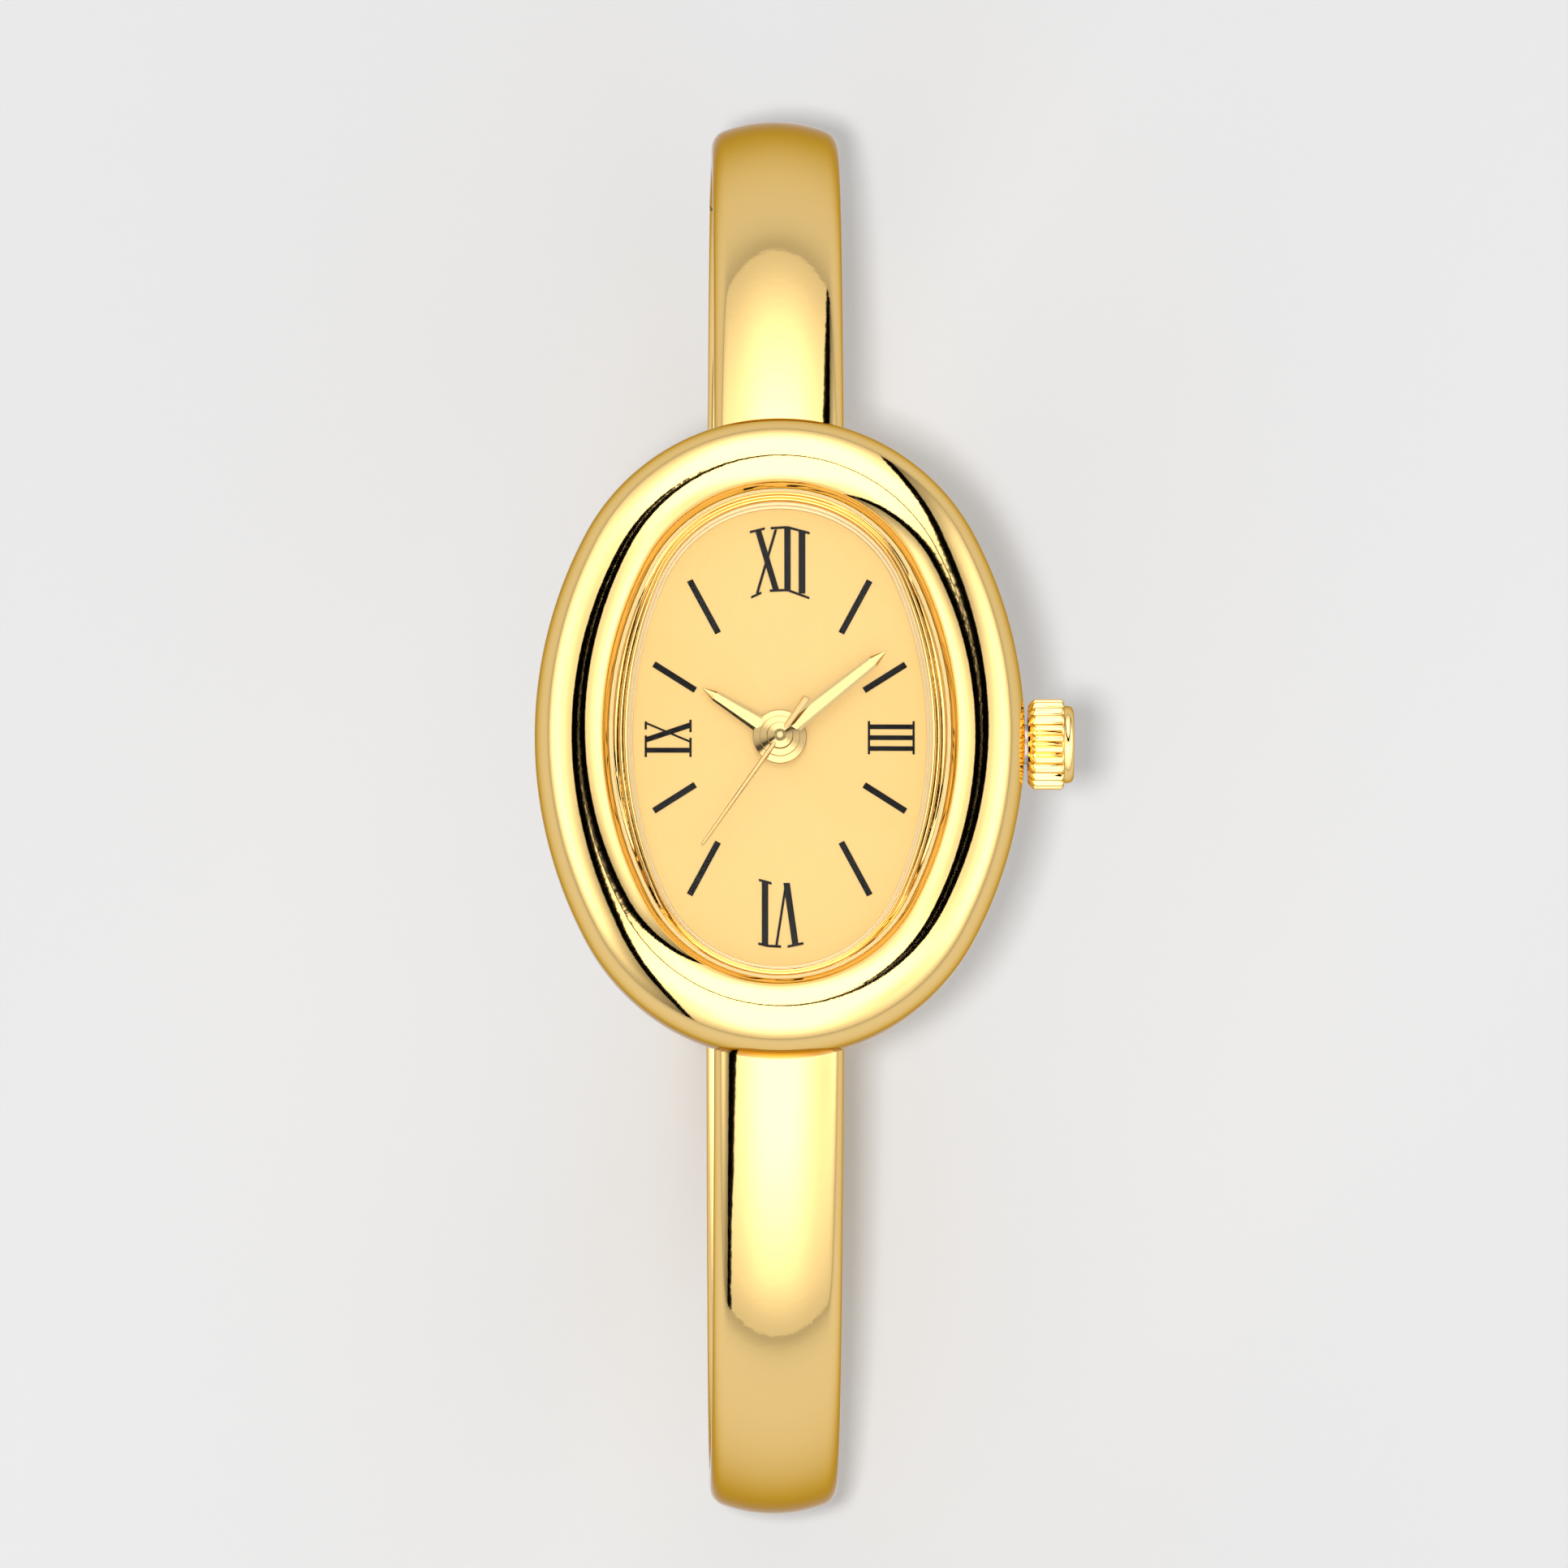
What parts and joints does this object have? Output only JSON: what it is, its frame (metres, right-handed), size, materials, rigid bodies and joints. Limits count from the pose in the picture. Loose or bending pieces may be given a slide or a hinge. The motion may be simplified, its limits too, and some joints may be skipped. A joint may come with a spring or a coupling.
{
  "type": "bangle watch",
  "caption": "Oval gold bangle watch with a bulging bezel, domed crystal, fluted crown and a hinged rigid band.",
  "frame": {"origin": "centre of the flat outer face of the case back", "axes": "+Z out of the dial, +Y towards twelve o'clock, +X towards three o'clock and the crown"},
  "size_m": [0.0216, 0.0572, 0.0501],
  "materials": {
    "polished_gold": "mirror-polished yellow gold plating",
    "gold_ring": "polished gold, stepped",
    "gold_dial": "fine matte grained champagne gold",
    "gold_hands": "polished gold, faceted",
    "black_ink": "printed black ink",
    "crystal_glass": "clear polished mineral glass",
    "black_rubber": "matte rubber",
    "clear_gasket": "translucent gasket",
    "steel": "fine brushed steel",
    "brass": "satin brass",
    "white_plastic": "moulded plastic",
    "green_board": "circuit board lacquer",
    "black_chip": "moulded resin",
    "copper_wire": "enamelled copper wire",
    "magnet": "sintered magnet",
    "red_jewel": "polished synthetic ruby"
  },
  "bodies": {
    "root": {"case_shell": "polished_gold", "case_back": "polished_gold", "back_gasket": "black_rubber", "crystal": "crystal_glass", "crystal_gasket": "clear_gasket", "dial_ring": "gold_ring", "dial": "gold_dial", "hour_markers": "black_ink", "dial_washer": "brass", "crown_tube": "steel", "upper_arm": "polished_gold", "lower_arm": "polished_gold", "lug_pins": "polished_gold", "hinge_pin": "polished_gold", "movement_holder": "white_plastic", "main_plate": "brass", "train_bridge": "brass", "bridge_jewels": "red_jewel", "bridge_screws": "steel", "battery": "steel", "battery_clamp": "steel", "clamp_screws": "steel", "circuit_board": "green_board", "timing_chip": "black_chip", "quartz_crystal": "steel", "coil_core": "steel", "coil_winding": "copper_wire", "stator": "steel"},
    "rear_arm": {"rear_arm": "polished_gold", "clasp_tongue": "polished_gold"},
    "clasp_button": {"clasp_button": "polished_gold"},
    "crown_seal": {"crown_gasket": "black_rubber"},
    "crown_and_stem": {"crown": "polished_gold", "stem": "steel"},
    "sliding_pinion": {"sliding_pinion": "steel"},
    "setting_lever": {"setting_lever": "steel"},
    "yoke": {"yoke": "steel"},
    "seconds": {"seconds_wheel": "brass", "second_hand": "gold_hands"},
    "intermediate": {"intermediate_wheel": "brass"},
    "rotor": {"rotor_pinion": "steel", "rotor_magnet": "magnet"},
    "third": {"third_wheel": "brass"},
    "centre": {"centre_wheel": "brass"},
    "minute": {"cannon_pinion": "brass", "minute_hand": "gold_hands"},
    "minute_wheel": {"minute_wheel": "brass"},
    "hour": {"hour_wheel": "brass", "hour_hand": "gold_hands"},
    "setting_wheel": {"setting_wheel": "brass"}
  },
  "joints": [
    {"name": "bangle_hinge", "type": "hinge", "parent": "root", "child": "rear_arm", "pos_m": [0, 0.02698, -0.02358], "axis": [1, 0, 0], "range_deg": [0, 70]},
    {"name": "clasp_button_press", "type": "slide", "parent": "root", "child": "clasp_button", "axis": [-1, 0, 0], "range_m": [0, 0.0004], "stiffness_N_per_m": 200, "springref_m": -0.0002},
    {"name": "crown_pull", "type": "slide", "parent": "root", "child": "crown_seal", "axis": [1, 0, 0], "range_m": [0, 0.0006]},
    {"name": "crown_turn", "type": "hinge", "parent": "crown_seal", "child": "crown_and_stem", "pos_m": [0.0105, 0, 0.003], "axis": [1, 0, 0], "continuous": true},
    {"name": "sliding_pinion_shift", "type": "slide", "parent": "crown_and_stem", "child": "sliding_pinion", "axis": [1, 0, 0], "range_m": [-0.00096, 0]},
    {"name": "setting_lever_swing", "type": "hinge", "parent": "root", "child": "setting_lever", "pos_m": [0.00553, 0.0021, 0.0038], "axis": [0, 0, 1], "range_deg": [0, 16.31]},
    {"name": "yoke_swing", "type": "hinge", "parent": "root", "child": "yoke", "pos_m": [0.00422, -0.0026, 0.0035], "axis": [0, 0, 1], "range_deg": [0, 7.75]},
    {"name": "seconds_turn", "type": "hinge", "parent": "root", "child": "seconds", "pos_m": [0, 0, 0.003], "axis": [0, 0, -1], "continuous": true},
    {"name": "intermediate_turn", "type": "hinge", "parent": "root", "child": "intermediate", "pos_m": [0.0012, 0.00208, 0.002], "axis": [0, 0, -1], "continuous": true},
    {"name": "rotor_turn", "type": "hinge", "parent": "root", "child": "rotor", "pos_m": [0.0029, 0.00306, 0.002], "axis": [0, 0, -1], "continuous": true},
    {"name": "third_turn", "type": "hinge", "parent": "root", "child": "third", "pos_m": [-0.0019, 0.00143, 0.002], "axis": [0, 0, -1], "continuous": true},
    {"name": "centre_turn", "type": "hinge", "parent": "root", "child": "centre", "pos_m": [0, 0, 0.0022], "axis": [0, 0, -1], "continuous": true},
    {"name": "minute_turn", "type": "hinge", "parent": "root", "child": "minute", "pos_m": [0, 0, 0.004], "axis": [0, 0, -1], "continuous": true},
    {"name": "minute_wheel_turn", "type": "hinge", "parent": "root", "child": "minute_wheel", "pos_m": [0.00112, 0.00166, 0.0035], "axis": [0, 0, -1], "continuous": true},
    {"name": "hour_turn", "type": "hinge", "parent": "root", "child": "hour", "pos_m": [0, 0, 0.0045], "axis": [0, 0, -1], "continuous": true},
    {"name": "setting_wheel_turn", "type": "hinge", "parent": "root", "child": "setting_wheel", "pos_m": [0.00256, 0, 0.0035], "axis": [0, 0, -1], "continuous": true}
  ],
  "couplings": [
    {"joint": "sliding_pinion_shift", "follows": "crown_pull", "ratio": -1.5833},
    {"joint": "setting_lever_swing", "follows": "crown_pull", "rad_per_m": 472.99},
    {"joint": "yoke_swing", "follows": "crown_pull", "rad_per_m": 224.02},
    {"joint": "intermediate_turn", "follows": "seconds_turn", "ratio": -5},
    {"joint": "rotor_turn", "follows": "seconds_turn", "ratio": 30},
    {"joint": "third_turn", "follows": "seconds_turn", "ratio": -0.13333},
    {"joint": "centre_turn", "follows": "seconds_turn", "ratio": 0.016667},
    {"joint": "minute_wheel_turn", "follows": "minute_turn", "ratio": -0.33333},
    {"joint": "hour_turn", "follows": "minute_turn", "ratio": 0.083333},
    {"joint": "setting_wheel_turn", "follows": "minute_turn", "ratio": 0.71429}
  ]
}
